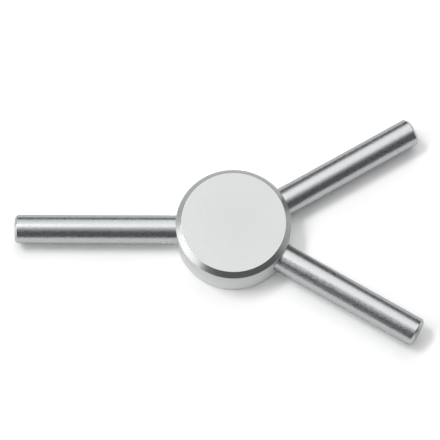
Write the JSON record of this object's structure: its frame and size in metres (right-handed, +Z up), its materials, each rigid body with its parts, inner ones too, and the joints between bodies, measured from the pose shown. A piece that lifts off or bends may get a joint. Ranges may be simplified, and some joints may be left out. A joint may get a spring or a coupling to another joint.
{
  "type": "radiator bleed key",
  "caption": "Radiator bleed key: a flat round metal hub with plain round bar arms and a square socket for the vent spindle in its underside.",
  "frame": {"origin": "centre of the square socket's mouth, in the plane of the hub's foot", "axes": "+Z up the hub's axis, away from the vent spindle; the single arm points along -X and the pair of arms lies evenly about +X"},
  "size_m": [0.0847, 0.0496, 0.0085],
  "materials": {
    "hub_steel": "satin nickel, turned rim and fine matt face",
    "arm_steel": "satin nickel on drawn bar, semi-bright",
    "bush_steel": "hardened steel, darkened, broached square"
  },
  "bodies": {
    "root": {"hub": "hub_steel", "socket_bush": "bush_steel", "single_arm": "arm_steel", "left_pair_arm": "arm_steel", "right_pair_arm": "arm_steel"}
  },
  "joints": []
}
